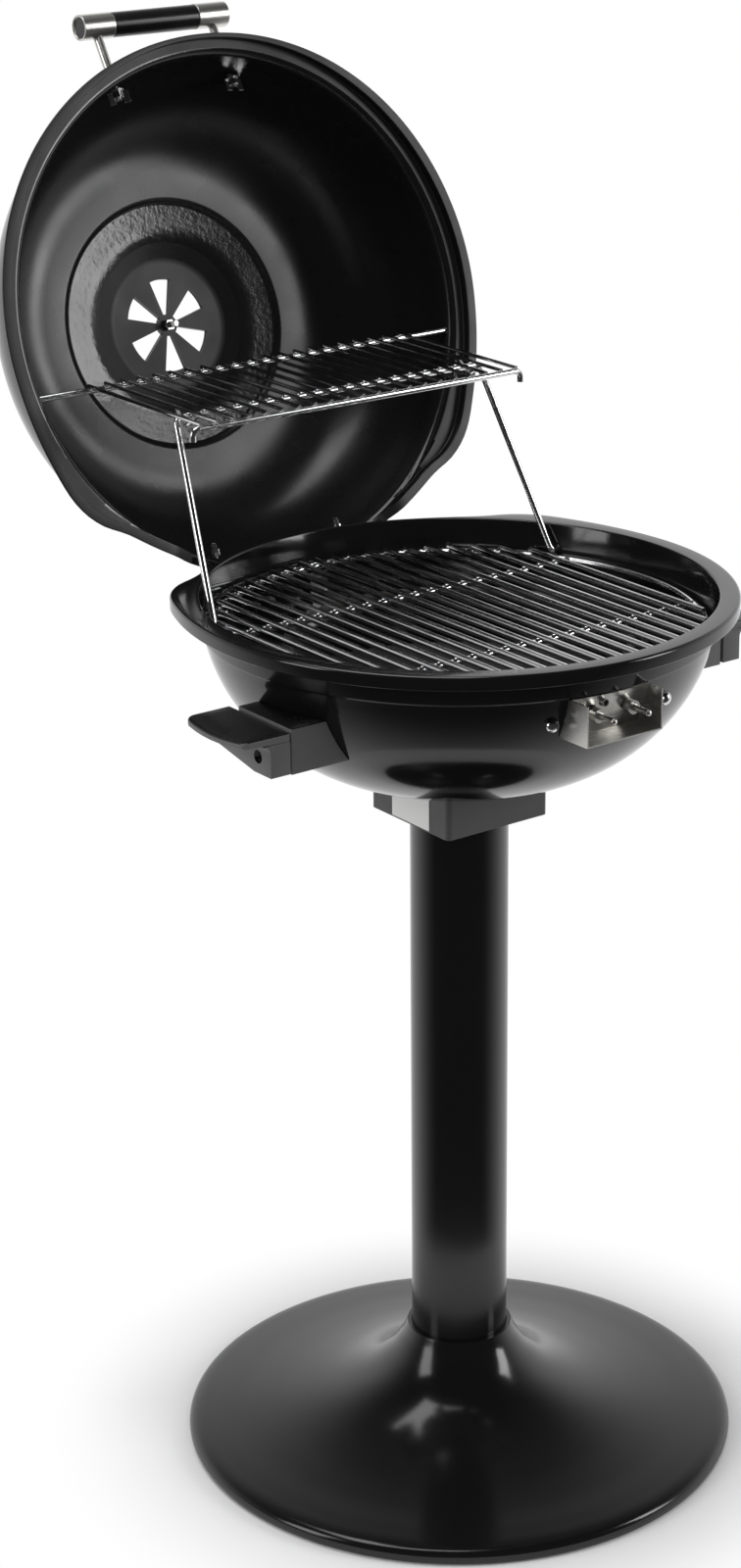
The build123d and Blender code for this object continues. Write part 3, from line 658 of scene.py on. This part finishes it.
def handle_neck():
    # Joins the block to the wedge at the bottom of the groove between them
    low = HANDLE_LOW + 4.0
    high = HANDLE_TOP - 2.0
    near = PADDLE_IN + 2 * GROOVE
    far = PADDLE_IN - 1.0
    side = 3.0
    outline = [(far, low), (near, low), (near, high), (far, high)]
    return prism(outline, "Y", HANDLE_FRONT + side, BLOCK_REAR - side)


def handle_wedge():
    low = HANDLE_LOW - 1.5
    high = HANDLE_TOP + 2.0
    front = HANDLE_FRONT + 1.0
    face = PADDLE_IN + GROOVE
    inner = -160.0
    gap = 0.2
    wedge = prism([(face, low), (inner, low), (inner, high), (face, high)], "Y", front, BLOCK_REAR)
    for k in range(1, 8):
        cut_across(wedge, (0.0, front + (BLOCK_REAR - front) * k / 8, 0.0), (0, 1, 0))
        cut_across(wedge, (0.0, 0.0, low + (high - low) * k / 8), (0, 0, 1))
    for v in wedge.verts:
        if v.co.x > (inner - 10.0) * MM:
            wall = math.sqrt(bowl_radius(v.co.z / MM) ** 2 - (v.co.y / MM) ** 2)
            v.co.x = -(wall + gap) * MM
    break_edges(wedge, HANDLE_EDGE, 3)
    return wedge


def side_handle():
    # Faces that don't look up get the matte finish of the sides, painted lighter as painted light
    handle = joined(handle_paddle(), handle_block(), handle_neck(), handle_wedge())
    handle.normal_update()
    for f in handle.faces:
        if f.normal.z < 0.35:
            f.material_index = 1
    return handle


def handle_fasteners():
    # A head at the bottom of each recess, a shank, and a nut inside the bowl
    seat = BLOCK_OUT + RECESS
    parts = []
    for y in SCREW_Y:
        inner = -math.sqrt((bowl_radius(SCREW_Z) - SHEET) ** 2 - y * y)
        parts.append(rod_along_x(HEAD_R, seat - 2.5, seat + 0.2, y, SCREW_Z, 24))
        parts.append(rod_along_x(SHANK_R, seat, inner + 6.0, y, SCREW_Z, 16))
        parts.append(rod_along_x(NUT_R, inner + 0.4, inner + 4.4, y, SCREW_Z, 6))
    for rod in parts:
        break_edges(rod, SMALL_EDGE, 2)
    return joined(*parts)


# Black tops, and sides painted lighter as painted light
moulding = (phenolic, phenolic_painted_lit_sides)
piece(side_handle(), "side_handle_left", "stand", "black_plastic", ["handle_left"], *moulding)
piece(mirrored(side_handle()), "side_handle_right", "stand", "black_plastic", ["handle_right"], *moulding)
both_sides = joined(handle_fasteners(), mirrored(handle_fasteners()))
piece(both_sides, "handle_fasteners", "stand", "zinc_steel", ["handle_screws", "handle_nuts"], zinc)

# Vent damper: a disc with the crown's openings and an upright tab, over the crown
DAMPER_R = 46.0
DAMPER_BORE = 2.6
DAMPER_LOW = CROWN_Z + 0.4
DAMPER_HIGH = CROWN_Z + 1.9
TAB_SIZE = (2.0, 6.5, 11.0)
TAB_MIDDLE = (0.0, -42.3, CROWN_Z + 7.0)

disc_path = [(DAMPER_BORE, DAMPER_LOW, 0), (VENT_IN, DAMPER_LOW, 0), (VENT_OUT, DAMPER_LOW, 0),
             (DAMPER_R, DAMPER_LOW, 0.4), (DAMPER_R, DAMPER_HIGH, 0.4), (VENT_OUT, DAMPER_HIGH, 0),
             (VENT_IN, DAMPER_HIGH, 0), (DAMPER_BORE, DAMPER_HIGH, 0)]
disc = spun(rounded(disc_path), closed=True)
cut_vents(disc)
tab = cuboid(TAB_SIZE, TAB_MIDDLE)
break_edges(tab, SMALL_EDGE, 2)
damper = swung_open(joined(disc, tab))
piece(damper, "vent_disc", "damper", "enamel", ["vent_damper"], enamel)

# Blank plate on the box's left face
PLATE_THICK = 0.4
PLATE_WIDE = 46.0
PLATE_TALL = 34.0
PLATE_Y = -2.0
PLATE_Z = 545.9

box_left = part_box("head_box")[0].x / MM
plate = cuboid((PLATE_THICK, PLATE_WIDE, PLATE_TALL), (box_left - PLATE_THICK / 2, PLATE_Y, PLATE_Z))
piece(plate, "blank_plate", "stand", "grey_plastic", [], plate_white)

# Floor, light and camera, in metres
FLOOR_R = 0.36
FADE_START = 0.2
FADE_STOP = 0.34
AIM = (0.0, 0.0, 0.7)
DARK_SIDE = (-0.585, -0.75, 0.31)


def pale_paint():
    # Fades to plain white before the edge, for the camera and in mirrors but not as light
    pale = finish("pale floor", (0.9, 0.9, 0.9), 0.9)
    tree = pale.node_tree
    spot = shader_node(tree, "ShaderNodeTexCoord")
    away = shader_node(tree, "ShaderNodeVectorMath", {0: spot.outputs["Object"]}, operation="LENGTH")
    fade = spread(tree, away.outputs["Value"], FADE_START, FADE_STOP, 0.0, 1.0)
    rays = shader_node(tree, "ShaderNodeLightPath")
    looked_at = combined(tree, "MAXIMUM", rays.outputs["Is Camera Ray"], seen_in_mirrors(tree, rays))
    whiten = combined(tree, "MULTIPLY", fade, looked_at)
    paint = tree.nodes["Principled BSDF"].outputs["BSDF"]
    white = shader_node(tree, "ShaderNodeEmission").outputs["Emission"]
    blend = shader_node(tree, "ShaderNodeMixShader", {"Fac": whiten, 1: paint, 2: white})
    tree.links.new(blend.outputs["Shader"], tree.nodes["Material Output"].inputs["Surface"])
    return pale


def pale_floor():
    bm = bmesh.new()
    bmesh.ops.create_circle(bm, cap_ends=True, segments=96, radius=FLOOR_R)
    mesh = bpy.data.meshes.new("floor")
    bm.to_mesh(mesh)
    bm.free()
    mesh.materials.append(pale_paint())
    floor = bpy.data.objects.new("floor", mesh)
    bpy.context.scene.collection.objects.link(floor)


def studio_world():
    # White to the camera, and in mirrors darker on the camera's side and overhead
    world = bpy.data.worlds.new("studio")
    bpy.context.scene.world = world
    world.use_nodes = True
    tree = world.node_tree
    rays = shader_node(tree, "ShaderNodeLightPath")
    sight = shader_node(tree, "ShaderNodeTexCoord").outputs["Generated"]
    toward = Vector(DARK_SIDE).normalized()
    facing = shader_node(tree, "ShaderNodeVectorMath", {0: sight, 1: toward}, operation="DOT_PRODUCT")
    dim_front = spread(tree, facing.outputs["Value"], -0.6, 0.4, 1.0, 0.03)
    height = shader_node(tree, "ShaderNodeSeparateXYZ", {"Vector": sight})
    dim_top = spread(tree, height.outputs["Z"], 0.35, 0.8, 1.0, 0.12)
    glow = combined(tree, "MULTIPLY", dim_front, dim_top)
    lit = shader_node(tree, "ShaderNodeMix", {"Factor": seen_in_mirrors(tree, rays), "A": 0.5, "B": glow})
    direct = {"Factor": rays.outputs["Is Camera Ray"], "A": lit.outputs["Result"], "B": 1.0}
    strength = shader_node(tree, "ShaderNodeMix", direct).outputs["Result"]
    background = tree.nodes["Background"]
    background.inputs["Color"].default_value = (1.0, 1.0, 1.0, 1.0)
    tree.links.new(strength, background.inputs["Strength"])


def softbox(name, place, width, height, watts):
    lamp = bpy.data.lights.new(name, "AREA")
    lamp.shape = "RECTANGLE"
    lamp.size = width
    lamp.size_y = height
    lamp.energy = watts
    obj = bpy.data.objects.new(name, lamp)
    obj.location = place
    obj.rotation_euler = (Vector(AIM) - Vector(place)).to_track_quat("-Z", "Y").to_euler()
    bpy.context.scene.collection.objects.link(obj)


def photo_view():
    # The camera that was fitted to the photograph
    camera = bpy.data.cameras.new("photo view")
    camera.lens = 78.82
    camera.sensor_width = 36.0
    camera.shift_x = -0.0564
    camera.shift_y = -0.0846
    obj = bpy.data.objects.new("photo view", camera)
    obj.location = (-1.5197, -1.9476, 1.4578)
    obj.rotation_euler = (math.radians(90 - 17.99), 0.0, math.radians(-37.96))
    bpy.context.scene.collection.objects.link(obj)
    bpy.context.scene.camera = obj


pale_floor()
studio_world()
softbox("left softbox", (-3.0, 0.6, 1.6), 1.0, 2.0, 26.0)
softbox("right softbox", (2.35, -2.3, 1.7), 0.9, 1.7, 36.0)
softbox("top softbox", (-0.4, 0.4, 3.0), 1.6, 1.6, 30.0)
photo_view()
bpy.context.scene.view_settings.view_transform = "Standard"
